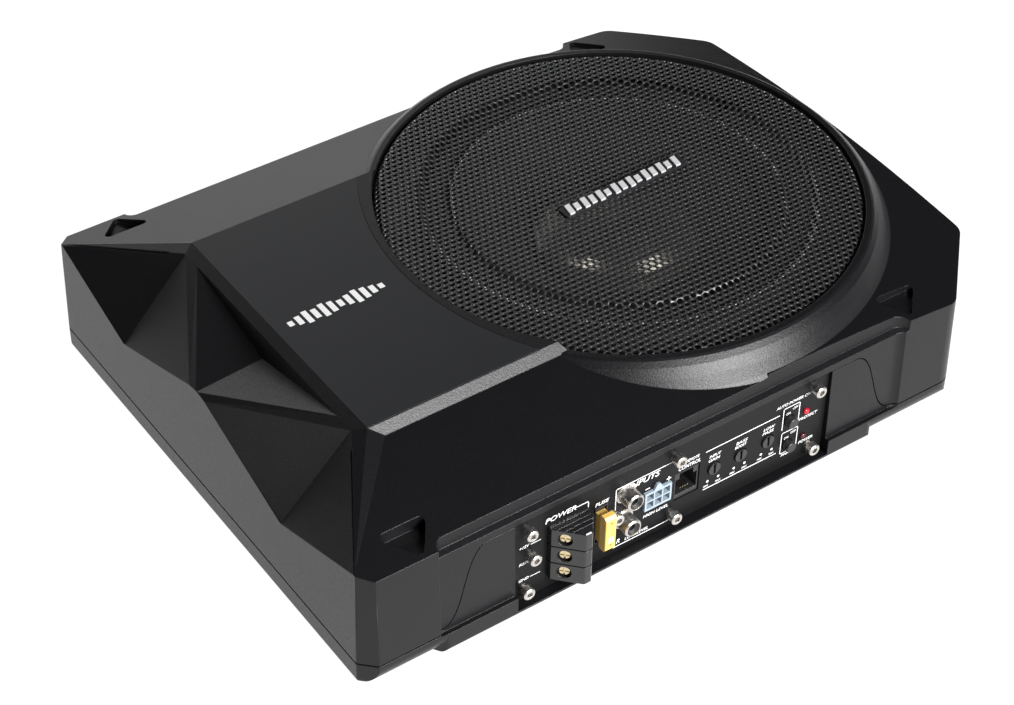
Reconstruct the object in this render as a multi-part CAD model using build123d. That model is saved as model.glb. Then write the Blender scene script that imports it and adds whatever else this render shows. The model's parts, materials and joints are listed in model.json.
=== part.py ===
from build123d import *
from math import cos, pi, radians, sin
import os

# Flat powered subwoofer for under a car seat.  Millimetres, +Z up.
# Origin: near the middle of the footprint, on the flat underside of the tray.
# +X runs towards the loudspeaker end, -Y is the side with the controls.

os.makedirs("parts", exist_ok=True)

# ---------------------------------------------------------------- case
left_end_x, right_end_x = -169.7, 172.3   # end walls at the seam
case_width = 256.0             # over the corner blocks, at the seam
far = 200.0                    # beyond the case in any direction
wall = 3.0                     # moulded wall thickness
draft = 1.8                    # wall lean in degrees
seam_z = 11.0                  # joint between tray and upper case
seam_gap = 0.8                 # visible groove at the joint
tray_z = 0.0                   # flat underside of the tray
floor_thickness = 2.5
floor_z = tray_z + floor_thickness
screw_seat_z = tray_z + 2.8    # where the case screw heads stop
pad_r, pad_depth = 9.0, 0.8    # anti-slip pads in the underside
left_chamfer = 6.5             # plan chamfers at the faceted end
right_chamfer = 37.5           # plan chamfers at the loudspeaker end
left_corner_r, right_corner_r = 1.2, 10.0
lower_edge_r = 2.6             # lower edge of the tray at the ends
side_edge_r = 9.0              # the same along the sides, under the corner blocks
flange_top_z = 10.2            # top of the tray band in front of the recessed walls
flange_y = case_width / 2 + 0.15
flange_wave = 9.0              # length of the S-curve at each end of the flange
flange_left_x, flange_right_x = -139.0, 98.0

plate_z = 76.6                 # top of the smooth plate
plate_half_width = 70.1
plate_left_x = -130.0
plate_thickness = 2.0
strip_y, strip_z = 73.9, 72.4  # foot of the bright strip beside the plate
eaves_y, eaves_z = 127.5, 57.2 # where the side slopes meet the walls
roof_slope = (strip_z - eaves_z) / (eaves_y - strip_y)

# side recess with its trim ledge, the same on both long sides
recess_left_x, recess_right_x = -134.0, 108.0
recess_right_r = 6.5
recess_levels = [(-10.0, 126.5, 0.8), (51.9, 124.9, 0.8), (53.2, 122.2, 3.5), (58.8, 121.6, 4.5),
                 (100.0, 121.6, 4.5)]    # height, depth and radius of the left inner corner

# faceted end: half of the ridge and valley points, mirrored in Y
end_wall_x = -168.3
corner_point = (end_wall_x, 120.7, 59.4)
valley_point = (end_wall_x, 65.3, 41.7)
ridge_point = (end_wall_x, 5.5, 61.8)
ridge_middle = (end_wall_x, 0.0, 62.6)
lip_corner = (-135.0, 66.5, 75.2)
plate_corner = (plate_left_x, plate_half_width, plate_z)
lip_inner = (-135.0, 56.5, 75.2)
deep_point = (-137.0, 0.0, 65.1)
fold_run = 6.0                 # how far the corner fold starts along the strip

# triangular finger pockets in the corner blocks
pocket_floor_z = 56.4
pocket_length, pocket_depth = 24.5, 15.6
pocket_apex = 13.8             # from the outer end of the long edge
pocket_r = 2.2
pocket_places = [(-153.6, -110.0, 1), (-153.2, 110.2, 1), (124.6, -109.0, -1), (125.2, 110.2, -1)]

# ---------------------------------------------------------------- grille ring
ring_x = 46.1                  # loudspeaker centre on the X axis
rim_z = 72.9
rim_r = 111.7
bore_r = 109.2
flank_foot_r, flank_foot_z = 121.2, 60.9
plateau_slope = 0.165          # fall of the shoulder around the ring, per mm
plateau_start_x = 33.0
ledge_z = 56.5                 # seat for the loudspeaker
ledge_thickness = 3.0
ledge_inner_r = 90.0

grille_r = 108.75
grille_z = 71.6                # top of the flat mesh
grille_edge_z = 72.4
grille_thickness = 1.0
step_r = 75.0                  # embossed ring
groove_depth = 1.6
groove_width = 12.0
edge_start = grille_r - 4.0    # where the rolled edge begins

# ---------------------------------------------------------------- loudspeaker
flange_r = 104.0
flange_z = 57.5                # underside of the flange, on its gasket
flange_thickness = 2.0
flange_screw_r = 98.0
basket_mouth_r = 88.0
basket_base_r = 60.0
basket_base_z = 28.5
cone_r, cone_edge_z = 73.0, 58.45
neck_r, neck_z = 30.1, 42.0
cap_r = 38.5
cap_height = 9.5
former_thickness = 0.4
former_bottom_z = 19.5
winding_thickness = 1.2
winding_height = 12.0
gap_r = 31.9                   # hole in the top plate
pole_r = 29.0
top_plate_thickness = 4.0
magnet_thickness = 14.0
magnet_r = 60.0
yoke_thickness = 5.5
spider_z = 38.0
spider_r = 64.0
lug_r = 71.0                   # where the tag strip sits

# ---------------------------------------------------------------- controls
panel_y = -123.5               # outer face of the control panel
panel_thickness = 1.5
window_left_x, window_right_x = -97.0, 66.5
ear_top_z = 48.4
ear_left_x, ear_right_x = recess_left_x + 0.5, 103.5
ear_run, ear_stretch = 24.5, 14.0
ear_gap = 0.35
panel_left_x, panel_right_x = -103.0, 72.0
panel_bottom_z, panel_top_z = floor_z + 0.3, 48.6
panel_screw_places = [(-91, 43), (-89, 28), (-92, 10.3), (-16.6, 43), (-16.9, 10.5),
                      (57.8, 43.5), (57.9, 10.1), (-47.9, 27.3)]
screw_head_r, screw_head_proud = 2.75, 5.75
terminal_z = [15.0, 24.3, 33.6]
terminal_bottom_z, terminal_top_z = 10.0, 38.6
slant_from, slant_to = (-80.0, panel_y - 2.7), (-70.4, panel_y - 13.0)
terminal_right_x = -60.5
clamp_pitch = terminal_z[1] - terminal_z[0]
clamp_offset = -1.5            # clamp screw from the middle of the slanted face
well_r, well_depth = 3.2, 3.3
fuse_x, fuse_z = -53.5, 24.5
rca_places = [(-40.5, 34.4), (-41.2, 20.0)]
rca_r, rca_proud = 4.15, 7.0
socket_x, socket_z = -24.5, 24.4
socket_width, socket_height = 13.8, 9.9
socket_proud, latch_height = 1.3, 2.8
jack_x, jack_z = -8.6, 23.2
jack_width, jack_height = 12.8, 15.0
jack_sunk = 0.6                # front of the socket body behind the panel face
pot_places = [5.7, 19.9, 34.7]
pot_z, pot_hole_r, pot_shaft_r = 23.8, 3.5, 3.1
button_places = [(46.0, 30.1), (46.3, 16.0)]
button_r, button_travel = 2.6, 1.5
led_places = [(55.1, 30.7), (54.8, 16.5)]
led_r = 1.5

board_z, board_thickness = 9.0, 1.6
board_box = (-96.0, 64.0, -119.0, -76.0)
board_screw_places = [(-90, -84), (-90, -100), (58, -84), (58, -100)]
capacitor_cans = [(8.0, 26, -78.5, -88), (8.0, 26, -61, -88), (5.0, 16, 14, -90), (5.0, 16, 27, -90)]


def save(node, shape):
    """Write one named piece."""
    shape.label = node
    export_step(shape, "parts/" + node + ".step")


def cylinder(radius, bottom, top, x=0.0, y=0.0):
    """Upright cylinder between two heights."""
    return Pos(x, y, (bottom + top) / 2) * Cylinder(radius, top - bottom)


def tube(outer, inner, bottom, top, x=0.0, y=0.0):
    """Upright tube between two heights."""
    return cylinder(outer, bottom, top, x, y) - cylinder(inner, bottom - 1, top + 1, x, y)


def block(x0, x1, y0, y1, z0, z1):
    """Box from its limits."""
    return Pos((x0 + x1) / 2, (y0 + y1) / 2, (z0 + z1) / 2) * Box(x1 - x0, y1 - y0, z1 - z0)


def across(radius, x, z, y0, y1):
    """Cylinder whose axis runs along Y, between two Y values."""
    return Pos(x, (y0 + y1) / 2, z) * Rot(90, 0, 0) * Cylinder(radius, abs(y1 - y0))


def revolved(points, x=ring_x):
    """Solid of revolution about the loudspeaker axis from (radius, height) points."""
    outline = make_face(Polyline([(r, 0, z) for r, z in points], close=True))
    return Pos(x, 0, 0) * revolve(outline, Axis.Z)


def along_x(points, x0, x1):
    """Prism along X from (y, z) points."""
    outline = make_face(Polyline([(x0, y, z) for y, z in points], close=True))
    return extrude(outline, amount=x1 - x0, dir=(1, 0, 0))


def along_y(outline, y0, y1):
    """Prism along Y from a face that lies in the plane y = 0."""
    return extrude(Pos(0, y0, 0) * outline, amount=y1 - y0, dir=(0, 1, 0))


def both_sides(shape):
    """The shape and its mirror image in the X-Z plane."""
    return shape + mirror(shape, Plane.XZ)


def group(shapes):
    """Separate solids that share one node."""
    return Compound(children=[s for shape in shapes for s in shape.solids()])


# ------------------------------------------------------------ outer form
def footprint(inset, z):
    """Plan outline of the case, moved inwards by the inset."""
    x0, x1, y = left_end_x + inset, right_end_x - inset, case_width / 2 - inset
    cl, cr = left_chamfer - 0.4 * inset, right_chamfer - 0.6 * inset
    half = [(x0, y - cl), (x0 + cl, y), (x1 - cr, y), (x1, y - cr)]
    points = [(x, -y) for x, y in half] + half[::-1]
    outline = make_face(Polyline([(x, y, z) for x, y in points], close=True))
    outline = fillet([v for v in outline.vertices() if v.X > 0], right_corner_r)
    return fillet([v for v in outline.vertices() if v.X < -100], left_corner_r)


def polyhedron(triangles):
    """Closed solid from corner triples."""
    return Solid(Shell([Face(Wire.make_polygon(t, close=True)) for t in triangles]))


def flipped(point):
    """Mirror image of a point in the X-Z plane."""
    return Vector(point.X, -point.Y, point.Z)


def facet_cutter(shift):
    """Everything above the folded facets of the end wall, moved by the shift."""
    half = [corner_point, valley_point, ridge_point, lip_corner, lip_inner, plate_corner]
    a, c, d, b, p, q = [Vector(*v) + shift for v in half]
    a2, c2, d2, b2, p2, q2 = [flipped(v) for v in (a, c, d, b, p, q)]
    e, f = Vector(*ridge_middle) + shift, Vector(*deep_point) + shift
    faces = [(a, b, c), (c, b, d), (d, b, p), (d, p, e), (e, p, f), (p, p2, f), (e, f, p2),
             (d2, e, p2), (d2, p2, b2), (c2, d2, b2), (a2, c2, b2), (a, q, b), (a2, b2, q2),
             (b, q, p), (p, q, q2), (p, q2, p2), (p2, q2, b2)]
    reach = 12.0
    edge = [a, c, d, e, d2, c2, a2]
    outer = [v - Vector(reach, 0, 0) for v in edge]
    for one, two, far_one, far_two in zip(edge, edge[1:], outer, outer[1:]):
        faces += [(one, two, far_two), (one, far_two, far_one)]
    rim = [outer[0], a, q, q2, a2, outer[-1]] + outer[-2:0:-1]
    lid = [Vector(v.X, v.Y, plate_z + reach) for v in rim]
    for i, one in enumerate(rim):
        j = (i + 1) % len(rim)
        faces += [(one, rim[j], lid[j]), (one, lid[j], lid[i])]
    return Solid(Shell([Face(Wire.make_polygon(t, close=True)) for t in faces]
                       + [Face(Wire.make_polygon(lid, close=True))]))


def corner_ridge():
    """Raised fold that runs from the plate corner down to the case corner."""
    a, b = Vector(*corner_point), Vector(*lip_corner)
    q, foot = Vector(*plate_corner), Vector(plate_left_x + fold_run, strip_y, strip_z)
    return polyhedron([(a, b, q), (a, q, foot), (a, foot, b), (b, foot, q)])


def slope_prism(t):
    """Roof with a flat middle, a steep strip and a long gentle slope on each side."""
    side = [(eaves_y + 10, eaves_z - 10 * roof_slope - t), (strip_y, strip_z - t),
            (plate_half_width, plate_z - t)]
    points = side + [(-y, z) for y, z in reversed(side)]
    points = [(side[0][0], -5)] + points + [(-side[0][0], -5)]
    return along_x(points, left_end_x - 5, ring_x)


def ring_mound(t):
    """Raised collar that carries the grille."""
    foot = flank_foot_r - t
    return revolved([(0, -5), (foot + 2.5, -5), (foot + 2.5, 57.5 - t), (foot, flank_foot_z - t),
                     (foot - 3.2, 66.0 - t), (foot - 6.0, 70.0 - t), (rim_r + 1.2 - t, 72.2 - t),
                     (rim_r - t, rim_z - t), (0, rim_z - t)])


def shoulder(t):
    """Shallow cone around the collar at the loudspeaker end."""
    reach = 60.0
    cone = revolved([(0, -5), (flank_foot_r + reach, -5),
                     (flank_foot_r + reach, flank_foot_z - t - reach * plateau_slope),
                     (flank_foot_r, flank_foot_z - t), (0, flank_foot_z - t)])
    return cone & block(plateau_start_x, far, -far, far, -10, 100)


def recess_plan(z, y, corner, t):
    """Plan of one side recess at one height; the inner corners are rounded."""
    x0, x1 = recess_left_x - t, recess_right_x + t
    y0, height = y - t, z - (t if z > 50 else 0)
    outline = make_face(Polyline([(x0, y0, height), (x1, y0, height), (x1, far, height), (x0, far, height)],
                                 close=True))
    inner = outline.vertices().sort_by(Axis.Y)[:2].sort_by(Axis.X)
    outline = fillet(inner[1], recess_right_r)
    return fillet(outline.vertices().sort_by(Axis.X)[:2].sort_by(Axis.Y)[0], corner)


def recess_cutter(t):
    """Space outside the long side walls, between the corner blocks."""
    plans = [recess_plan(z, y, corner, t) for z, y, corner in recess_levels]
    cut = loft(plans[:2], ruled=True)
    for lower, upper in zip(plans[1:], plans[2:]):
        cut += loft([lower, upper], ruled=True)
    return both_sides(cut)


def pocket_cutter(t):
    """Finger pockets with a level floor; the inner offset is a plain box around each."""
    cut = []
    for x, y, way in pocket_places:
        out = 1 if y > 0 else -1
        corners = [(x, y), (x + way * pocket_length, y), (x + way * pocket_apex, y + out * pocket_depth)]
        if t:
            x0, x1 = sorted((x - way * t, x + way * (pocket_length + t)))
            y0, y1 = sorted((y - out * t, y + out * (pocket_depth + t)))
            cut.append(block(x0, x1, y0, y1, pocket_floor_z - t, 90))
            continue
        outline = make_face(Polyline([(px, py, pocket_floor_z) for px, py in corners], close=True))
        cut.append(extrude(fillet(outline.vertices(), pocket_r), amount=30, dir=(0, 0, 1)))
    return cut


def envelope(t=0.0):
    """Outer form of the whole case, or its inner offset at wall thickness t."""
    form = slope_prism(t) + ring_mound(t) + shoulder(t)
    lean = extrude(footprint(t, seam_z), amount=80, taper=draft)
    skirt = extrude(footprint(t, seam_z), amount=-30)
    shaft = lean + skirt
    form = form & shaft
    if t == 0:
        form += both_sides(corner_ridge()) & shaft
    shift = Vector(0, 0, 0) if t == 0 else Vector(t, 0, -1.3 * t)
    form -= facet_cutter(shift)
    form -= recess_cutter(t)
    return form - pocket_cutter(t)


# ------------------------------------------------------------ case parts
def ear_outline(gap=0.0):
    """Raised front wall of the tray: an S-curve up on both sides of the window."""
    x0, x1 = ear_left_x - gap, ear_right_x + gap
    low, high = seam_z + gap, ear_top_z + gap
    top_left, top_right = x0 + ear_run, x1 - ear_run
    left = Bezier((x0, 0, low), (x0 + ear_stretch, 0, low), (top_left - ear_stretch, 0, high),
                  (top_left, 0, high))
    top = Line((top_left, 0, high), (top_right, 0, high))
    right = Bezier((top_right, 0, high), (top_right + ear_stretch, 0, high), (x1 - ear_stretch, 0, low),
                   (x1, 0, low))
    close = Polyline((x1, 0, low), (x1, 0, -20), (x0, 0, -20), (x0, 0, low))
    return make_face([left, top, right, close])


def boss_places():
    """Positions of the eight case screws."""
    half = [(-155, 110), (-30, 117.5), (92, 116), (150, 84)]
    return half + [(x, -y) for x, y in half if x != -30] + [(-117, -116)]


def make_top_shell(outer, inner):
    """Upper case: hollow form with the grille collar, loudspeaker ledge and screw bosses."""
    base = seam_z + seam_gap
    shell = outer - block(-far, far, -far, far, -50, base) - inner
    collar = tube(bore_r + wall, ledge_inner_r, ledge_z - ledge_thickness, rim_z, ring_x)
    bosses = [cylinder(4.0, base, plate_z, x, y) for x, y in boss_places()]
    shell += (collar + bosses) & outer
    shell -= cylinder(bore_r, ledge_z, 90, ring_x)
    shell -= plate_solid(0.15, plate_z + 5)
    shell -= along_y(ear_outline(ear_gap), -140, -110)
    for x, y in boss_places():
        shell -= cylinder(1.5, 0, 40, x, y)
    for angle in screw_angles():
        shell -= cylinder(1.6, 40, 70, *around(flange_screw_r, angle))
    return shell


def plate_solid(gap, top):
    """Smooth plate with an arc along the grille ring."""
    y = plate_half_width - 0.2 + gap
    x0 = plate_left_x - gap
    x1 = -46.6 + gap
    arc = ThreePointArc((x1, y), (ring_x - rim_r - 0.9 + gap, 0), (x1, -y))
    outline = make_face([Polyline((x1, -y), (x0, -y), (x0, y), (x1, y)), arc])
    bottom = plate_z - plate_thickness
    return Pos(0, 0, bottom) * extrude(outline, amount=top - bottom)


def rounded_channel(y, bottom, radius):
    """Long prism with rounded lower edges that trims the tray to shape."""
    x, top = left_end_x - 5, plate_z
    section = make_face(Polyline([(x, -y, top), (x, y, top), (x, y, bottom), (x, -y, bottom)], close=True))
    section = fillet(section.vertices().sort_by(Axis.Z)[:2], radius)
    return extrude(section, amount=right_end_x - left_end_x + 10, dir=(1, 0, 0))


def make_flange():
    """Tray band in front of one recessed wall; its ends swing back in an S-curve."""
    x0, x1 = flange_left_x, flange_right_x
    y0, y1 = -flange_y, -flange_y + 7.0
    half_wave = flange_wave / 2
    left = Bezier((x0, y1, 0), (x0 + half_wave, y1, 0), (x0 + half_wave, y0, 0), (x0 + flange_wave, y0, 0))
    front = Line((x0 + flange_wave, y0, 0), (x1 - flange_wave, y0, 0))
    right = Bezier((x1 - flange_wave, y0, 0), (x1 - half_wave, y0, 0), (x1 - half_wave, y1, 0), (x1, y1, 0))
    back = Polyline((x1, y1, 0), (x1, -110, 0), (x0, -110, 0), (x0, y1, 0))
    flange = extrude(make_face([left, front, right, back]), amount=flange_top_z, dir=(0, 0, 1))
    return flange & rounded_channel(flange_y, tray_z, 2.2)


def make_bottom_shell(outer):
    """Tray with rounded lower edge, foot flanges, raised ears and screw bosses."""
    lower = extrude(footprint(0, seam_z), amount=-(seam_z - tray_z))
    lower = fillet(lower.faces().sort_by(Axis.Z)[0].edges(), lower_edge_r)
    lower &= rounded_channel(case_width / 2, tray_z, side_edge_r)
    lower -= recess_cutter(0) & block(-far, far, -far, far, flange_top_z, seam_z + 1)
    shell = lower + both_sides(make_flange())
    hollow = extrude(footprint(wall, floor_z), amount=60)
    between = block(flange_left_x + flange_wave, flange_right_x - flange_wave, -far, far, 0, far)
    rounded = rounded_channel(case_width / 2 - wall, floor_z, side_edge_r - wall)
    hollow = (hollow & rounded) + (hollow & between)
    hollow -= block(-far, far, 123.4, far, 0, 60) + block(-far, far, -far, -123.7, 0, 60)
    shell -= hollow
    ears = along_y(ear_outline(), -140, -123.7) & outer
    shell += ears & block(-far, far, -far, 0, 5, 60)
    shell -= block(window_left_x, window_right_x, -140, -100, floor_z, 60)
    for x, y in boss_places():
        shell += cylinder(4.6, floor_z - 0.5, seam_z - 0.2, x, y)
        shell -= cylinder(1.7, 0, 20, x, y)
        shell -= cylinder(3.6, tray_z - 1, screw_seat_z, x, y)
    for x, y in pad_places():
        shell -= cylinder(pad_r + 0.1, tray_z - 1, tray_z + pad_depth, x, y)
    return shell


def pad_places():
    """Positions of the four pads."""
    return [(x, y) for x in (-135, 125) for y in (-92, 92)]


def make_case_screw(x, y):
    """Cross-head screw driven up from below."""
    top = screw_seat_z - 0.1
    screw = cylinder(3.3, top - 2.1, top, x, y) + cylinder(1.48, top - 0.5, 26, x, y)
    return screw - Pos(x, y, top - 1.8) * (Box(4.4, 0.8, 1.2) + Box(0.8, 4.4, 1.2))


def make_rubber_pad(x, y):
    """Round anti-slip pad, flush in a shallow seat under the tray."""
    pad = cylinder(pad_r, tray_z, tray_z + pad_depth, x, y)
    return chamfer(pad.faces().sort_by(Axis.Z)[0].edges(), 0.3)


def make_shell_seal():
    """Foam cord in the joint; it stops either side of the control window."""
    outline = footprint(1.1, seam_z) - footprint(2.6, seam_z)
    seal = extrude(outline, amount=seam_gap)
    keep_out = block(recess_left_x - 4, recess_right_x + 4, 119, 140, 0, 40)
    seal -= both_sides(keep_out)
    return seal


# ------------------------------------------------------------ grille
def grille_profile():
    """Upper side of the grille as (radius, height) from the centre to the rim."""
    edge = grille_r
    return [(0, grille_z), (step_r - 1.5, grille_z), (step_r, grille_z - groove_depth),
            (step_r + groove_width, grille_z - groove_depth + 0.5),
            (step_r + groove_width + 2.5, grille_edge_z), (edge - 3.0, grille_edge_z - 0.1),
            (edge - 1.0, grille_edge_z - 1.0), (edge, grille_edge_z - 3.0), (edge, 62.0)]


def make_grille():
    """Sheet disc with an embossed ring and an edge rolled down to the flange."""
    top = grille_profile()
    t = grille_thickness
    under = [(r - (t if r > edge_start else 0), z - (t if r < edge_start + 1 else 0)) for r, z in top]
    under[-1] = (grille_r - t, top[-1][1])
    return revolved(top + under[::-1])


def make_badge():
    """Plain bar fixed to the middle of the grille."""
    bar = Pos(50.5, 2.3, grille_z + 0.8) * Rot(0, 0, 2.0) * Box(68.0, 7.6, 1.6)
    return fillet(bar.edges().filter_by(Axis.Z), 1.5)


# ------------------------------------------------------------ loudspeaker
def around(radius, angle):
    """Point at an angle about the loudspeaker axis."""
    return ring_x + radius * cos(radians(angle)), radius * sin(radians(angle))


def screw_angles():
    """Directions of the eight loudspeaker screws, in degrees."""
    return [22.5 + 45 * i for i in range(8)]


def make_basket():
    """Pressed frame: flange, spoked bowl, spider shelf and base plate."""
    t = 1.8
    top = flange_z + flange_thickness
    outline = [(flange_r, flange_z), (flange_r, top), (basket_mouth_r - t, top),
               (70.0, spider_z - 1.5), (spider_r - 4, spider_z - 1.5), (spider_r - 4, spider_z - 3),
               (66.5, spider_z - 3), (60.5, basket_base_z + t), (gap_r + 3, basket_base_z + t),
               (gap_r + 3, basket_base_z), (61.5, basket_base_z), (68.5, spider_z - 3.5),
               (basket_mouth_r, flange_z)]
    basket = revolved(outline)
    basket += block(ring_x - lug_r, ring_x - 64, -8, 8, 31.5, 34.5)
    for i in range(6):
        angle = 30 + 60 * i
        hole = Pos(ring_x, 0, 49.0) * Rot(0, 0, angle) * Pos(82, 0, 0) * Box(40, 46, 13.0)
        basket -= hole
    for angle in screw_angles():
        basket -= cylinder(2.2, 50, 70, *around(flange_screw_r, angle))
    return basket


def make_cone():
    """Paper cone between the coil former and the surround."""
    t = 1.0
    bend = (50.0, 48.2)
    return revolved([(neck_r + former_thickness + 0.05, neck_z), bend, (cone_r, cone_edge_z),
                     (cone_r, cone_edge_z + t), (bend[0] - 0.6, bend[1] + t),
                     (neck_r + former_thickness + 0.05, neck_z + t + 0.6)])


def make_surround():
    """Half-roll rubber edge from the cone to the basket flange."""
    z = flange_z + flange_thickness + 0.02
    mid, half = (cone_r + basket_mouth_r) / 2, (basket_mouth_r - cone_r) / 2
    t = 0.8
    outer = [(mid - half * cos(radians(a)), z + t + 4.0 * sin(radians(a))) for a in range(0, 181, 15)]
    inner = [(mid - (half - t) * cos(radians(a)), z + 3.8 * sin(radians(a))) for a in range(0, 181, 15)]
    inner_lip = [(cone_r - 5.0, z + t), (cone_r - 5.0, z)]
    outer_lip = [(flange_r - 10.0, z + t), (flange_r - 10.0, z)]
    return revolved(inner_lip[1:] + inner_lip[:1] + outer + outer_lip + inner[::-1])


def make_dust_cap():
    """Domed cap over the voice coil."""
    z = 46.6
    steps = range(0, 91, 15)
    outer = [(cap_r * sin(radians(a)), z + 1 + cap_height * cos(radians(a))) for a in steps]
    inner = [((cap_r - 1) * sin(radians(a)), z + cap_height * cos(radians(a))) for a in steps]
    return revolved(outer + [(cap_r, z), (cap_r - 1, z)] + inner[::-1][1:])


def make_spider():
    """Corrugated cloth ring that centres the coil."""
    count = 7
    r0, r1 = neck_r + former_thickness + 0.05, spider_r + 1.0
    z = spider_z - 1.5 + 0.02
    wave = [(r0 + (r1 - r0) * i / 28, z + 1.2 * abs(sin(count * pi * i / 28))) for i in range(29)]
    return revolved([(r, h) for r, h in wave] + [(r, h + 0.6) for r, h in wave[::-1]])


def make_motor():
    """Top plate, magnet ring and yoke with its pole, from the top down."""
    z = basket_base_z
    top_plate = tube(58.0, gap_r, z - top_plate_thickness, z, ring_x)
    z -= top_plate_thickness
    magnet = tube(magnet_r, gap_r + 2.5, z - magnet_thickness, z, ring_x)
    z -= magnet_thickness
    yoke = cylinder(57.0, z - yoke_thickness, z, ring_x)
    yoke += cylinder(pole_r, z - 1, basket_base_z, ring_x)
    yoke -= cylinder(7.0, 0, 50, ring_x)
    top_plate = chamfer(top_plate.edges().filter_by(GeomType.CIRCLE).group_by(Axis.Z)[0][-1:], 0.8)
    return top_plate, magnet, yoke


def make_driver_screw(angle):
    """Pan-head screw through the flange into the ledge."""
    x, y = around(flange_screw_r, angle)
    top = flange_z + flange_thickness
    return cylinder(3.4, top, top + 2.0, x, y) + cylinder(1.58, top - 8, top + 0.5, x, y) \
        - Pos(x, y, top + 1.8) * (Box(4, 0.8, 1.2) + Box(0.8, 4, 1.2))


def make_driver_terminals():
    """Tag strip with two solder tags, on a lug of the basket."""
    x = ring_x - lug_r
    strip = block(x - 3.0, x, -11, 11, 29.5, 36.5)
    tags = [block(x - 7.5, x - 3.0, y - 2, y + 2, 33.6, 34.4) for y in (-6, 6)]
    return strip, tags


def make_leads():
    """Two insulated wires from the amplifier board, over the heat wall, to the tag strip."""
    wires = []
    for side in (-1, 1):
        x = -39.0 + 1.5 * side
        start, end = (x, -98, board_z + board_thickness), (ring_x - lug_r - 8.7, 6 * side, 34.0)
        path = Spline(start, (x, -86, 38), (x + 3, -60, 39), end, tangents=[(0, 0, 1), (1, 0.6, -0.2)])
        section = Plane(origin=path @ 0, z_dir=path % 0) * Circle(1.1)
        wires.append(sweep(section, path=path))
    return wires


# ------------------------------------------------------------ amplifier
def make_control_panel():
    """Folded sheet panel with an opening for every control."""
    y0, y1 = panel_y, panel_y + panel_thickness
    panel = block(panel_left_x, panel_right_x, y0, y1, panel_bottom_z, panel_top_z)
    foot = block(panel_left_x + 6, panel_right_x - 8, y1 - 0.5, y1 + 8, panel_bottom_z,
                 panel_bottom_z + panel_thickness)
    panel += foot
    for x, z in panel_screw_places:
        panel -= across(1.6, x, z, y0 - 1, y1 + 1)
    for x, z in rca_places:
        panel -= across(5.2, x, z, y0 - 1, y1 + 1)
    for x in pot_places:
        panel -= across(pot_hole_r, x, pot_z, y0 - 1, y1 + 1)
    for x, z in button_places:
        panel -= across(button_r + 0.3, x, z, y0 - 1, y1 + 1)
    for x, z in led_places:
        panel -= across(led_r + 0.1, x, z, y0 - 1, y1 + 1)
    openings = [(socket_x, socket_z, socket_width, socket_height), (jack_x, jack_z, jack_width, jack_height),
                (fuse_x, fuse_z, 6.4, 20.4), (-70.3, 24.3, 17.0, 26.0)]
    for x, z, width, height in openings:
        half_x, half_z = width / 2 + 0.15, height / 2 + 0.15
        panel -= block(x - half_x, x + half_x, y0 - 1, y1 + 1, z - half_z, z + half_z)
    return panel


def make_panel_screw(x, z):
    """Hex-socket screw standing off the panel on a narrower collar."""
    y0 = panel_y
    screw = across(screw_head_r, x, z, y0 - screw_head_proud, y0 - 2.4)
    screw += across(1.9, x, z, y0 - 2.5, y0) + across(1.5, x, z, y0 - 0.5, y0 + 4)
    screw = chamfer(screw.edges().filter_by(GeomType.CIRCLE).group_by(Axis.Y)[0], 0.4)
    socket = Pos(x, y0 - screw_head_proud + 1.0, z) * Rot(90, 0, 0)
    return screw - socket * extrude(RegularPolygon(1.45, 6), amount=2.4, both=True)


def slant_place(x_offset, z):
    """Frame on the slanted clamp face: local Z points out, away from the block."""
    middle_x, middle_y = (slant_from[0] + slant_to[0]) / 2, (slant_from[1] + slant_to[1]) / 2
    run = Vector(slant_to[0] - slant_from[0], slant_to[1] - slant_from[1], 0).normalized()
    origin = Vector(middle_x, middle_y, z) + run * x_offset
    return Plane(origin=origin, x_dir=run, z_dir=Vector(run.Y, -run.X, 0)).location


def make_terminal_block():
    """Wedge-shaped block of three cells, each with a round well for its clamp screw."""
    y = panel_y
    plan = [(slant_from[0], y), slant_from, slant_to, (slant_to[0] + 3.4, slant_to[1]),
            (terminal_right_x, y - 5.0), (terminal_right_x, y)]
    height = terminal_top_z - terminal_bottom_z
    body = extrude(make_face(Polyline(plan, close=True)), amount=height, dir=(0, 0, 1))
    body = fillet(body.edges().filter_by(Axis.Z).sort_by(Axis.Y)[:2], 1.5)
    body = Pos(0, 0, terminal_bottom_z) * body
    core = Pos(0.4, 0.9, 0) * body & body
    for z in terminal_z[:2]:
        groove = z + clamp_pitch / 2
        body -= block(-90, -50, y - 20, y, groove - 0.35, groove + 0.35) - core
    body = chamfer(body.faces().sort_by(Axis.Z)[-1].edges().sort_by(Axis.Y)[:3], 0.5)
    for i in range(4):
        ridge_y = y - 2.4 - 2.3 * i
        body -= block(-90, terminal_right_x - 1.5, ridge_y - 0.4, ridge_y + 0.4, terminal_top_z - 0.5, 50)
    body += block(-77.6, -62.9, y - 0.5, y + 8, terminal_bottom_z + 1.6, terminal_top_z - 1.6)
    for z in terminal_z:
        place = slant_place(clamp_offset, z)
        body -= place * Pos(0, 0, -well_depth / 2) * Cylinder(well_r, well_depth)
        body -= place * Pos(0, 0, -5.0) * Cylinder(2.0, 8)
    return body


def make_terminal_contact(z):
    """Round metal washer at the bottom of one well."""
    place = slant_place(clamp_offset, z)
    disc = place * Pos(0, 0, 0.35 - well_depth) * Cylinder(well_r - 0.1, 0.6)
    return disc - place * Pos(0, 0, -3) * Cylinder(1.75, 6)


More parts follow.
